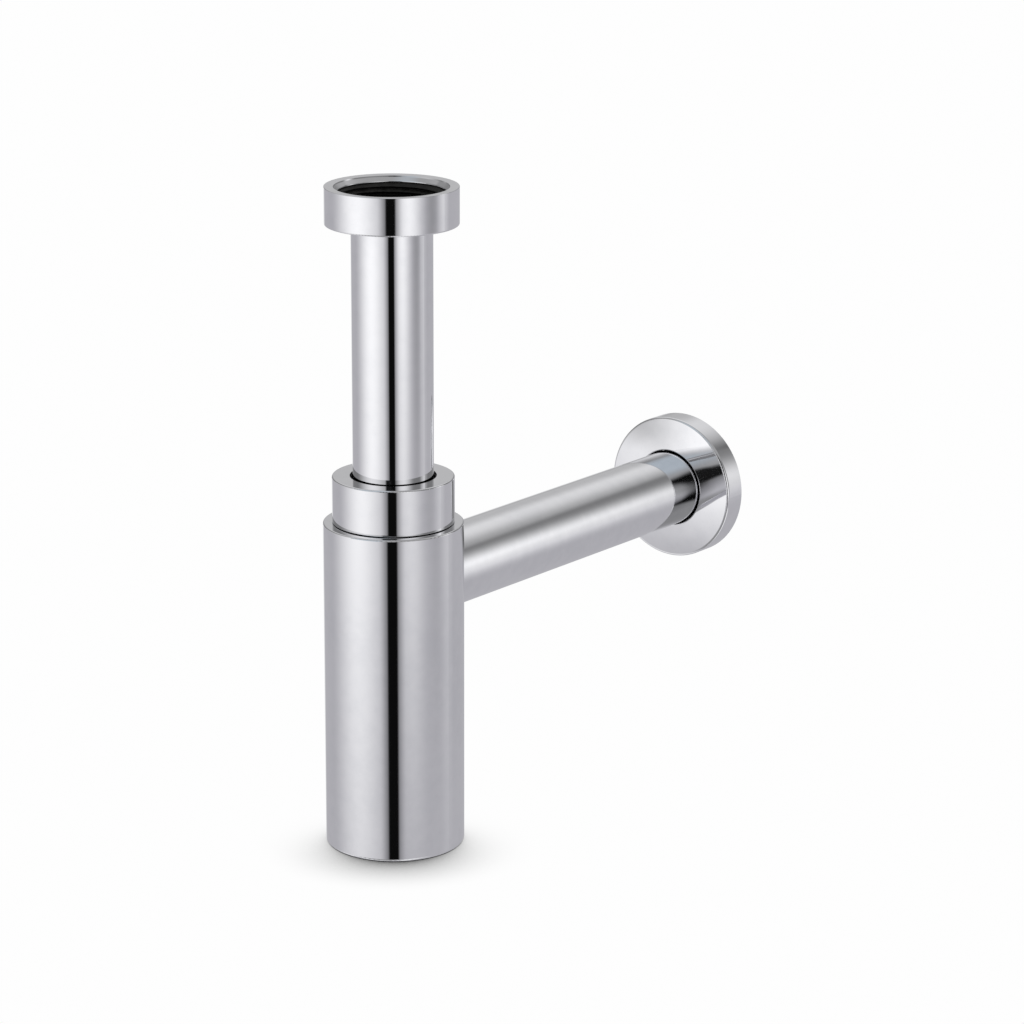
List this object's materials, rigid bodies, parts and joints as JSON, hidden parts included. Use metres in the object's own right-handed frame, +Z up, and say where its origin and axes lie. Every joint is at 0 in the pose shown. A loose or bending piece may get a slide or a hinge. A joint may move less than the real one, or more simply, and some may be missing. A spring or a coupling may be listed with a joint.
{
  "type": "bottle trap",
  "caption": "Round bottle trap for a basin waste: a telescopic inlet tube with a union nut, a plain cylindrical bottle and a side pipe to a wall flange.",
  "frame": {"origin": "on the bottle's axis, at the top face of the inlet washer, where the end of the basin waste lands and the nut's thread begins", "axes": "+Z up along the bottle's axis and out of the inlet nut's mouth, +Y along the outlet pipe to the wall, +X to the right when facing the wall"},
  "size_m": [0.062, 0.2379, 0.2672],
  "materials": {
    "chrome": "polished chrome plate on brass",
    "rubber": "black moulded rubber",
    "nylon": "black moulded nylon"
  },
  "bodies": {
    "bottle": {"bottle_body": "chrome", "tube_seal": "rubber"},
    "slip_ring": {"slip_ring": "nylon"},
    "lock_nut": {"lock_nut": "chrome"},
    "inlet_tube": {"inlet_tube": "chrome", "inlet_washer": "rubber"},
    "nut_grip_ring": {"nut_grip_ring": "rubber"},
    "inlet_nut": {"inlet_nut": "chrome"},
    "plug_ring": {"plug_ring": "rubber"},
    "base_plug": {"base_plug": "chrome"},
    "pipe_ring": {"pipe_ring": "rubber"},
    "outlet_pipe": {"outlet_pipe": "chrome"},
    "flange_grip_ring": {"flange_grip_ring": "rubber"},
    "wall_flange": {"wall_flange": "chrome"}
  },
  "joints": [
    {"name": "inlet_tube_slide", "type": "slide", "parent": "bottle", "child": "inlet_tube", "axis": [0, 0, 1], "range_m": [-0.008, 0.04]},
    {"name": "inlet_nut_slide", "type": "slide", "parent": "inlet_tube", "child": "nut_grip_ring", "axis": [0, 0, 1], "range_m": [-0.075, 0]},
    {"name": "inlet_nut_spin", "type": "hinge", "parent": "nut_grip_ring", "child": "inlet_nut", "pos_m": [0, 0, 0], "axis": [0, 0, 1], "continuous": true},
    {"name": "lock_nut_lift", "type": "slide", "parent": "bottle", "child": "slip_ring", "axis": [0, 0, 1], "range_m": [0, 0.00924]},
    {"name": "lock_nut_turn", "type": "hinge", "parent": "slip_ring", "child": "lock_nut", "pos_m": [0, 0, -0.116], "axis": [0, 0, 1], "range_deg": [0, 1440]},
    {"name": "base_plug_drop", "type": "slide", "parent": "bottle", "child": "plug_ring", "axis": [0, 0, -1], "range_m": [0, 0.009]},
    {"name": "base_plug_turn", "type": "hinge", "parent": "plug_ring", "child": "base_plug", "pos_m": [0, 0, -0.254], "axis": [0, 0, -1], "range_deg": [0, 2160]},
    {"name": "outlet_pipe_draw", "type": "slide", "parent": "bottle", "child": "pipe_ring", "axis": [0, 1, 0], "range_m": [0, 0.009]},
    {"name": "outlet_pipe_turn", "type": "hinge", "parent": "pipe_ring", "child": "outlet_pipe", "pos_m": [0, 0.1, -0.1527], "axis": [0, 1, 0], "range_deg": [0, 3240]},
    {"name": "flange_slide", "type": "slide", "parent": "outlet_pipe", "child": "flange_grip_ring", "axis": [0, 1, 0], "range_m": [-0.15, 0]},
    {"name": "flange_spin", "type": "hinge", "parent": "flange_grip_ring", "child": "wall_flange", "pos_m": [0, 0.193, -0.1527], "axis": [0, 1, 0], "continuous": true}
  ],
  "couplings": [
    {"joint": "lock_nut_lift", "follows": "lock_nut_turn", "m_per_rad": 0.00036749},
    {"joint": "base_plug_drop", "follows": "base_plug_turn", "m_per_rad": 0.00023873},
    {"joint": "outlet_pipe_draw", "follows": "outlet_pipe_turn", "m_per_rad": 0.00015915}
  ]
}
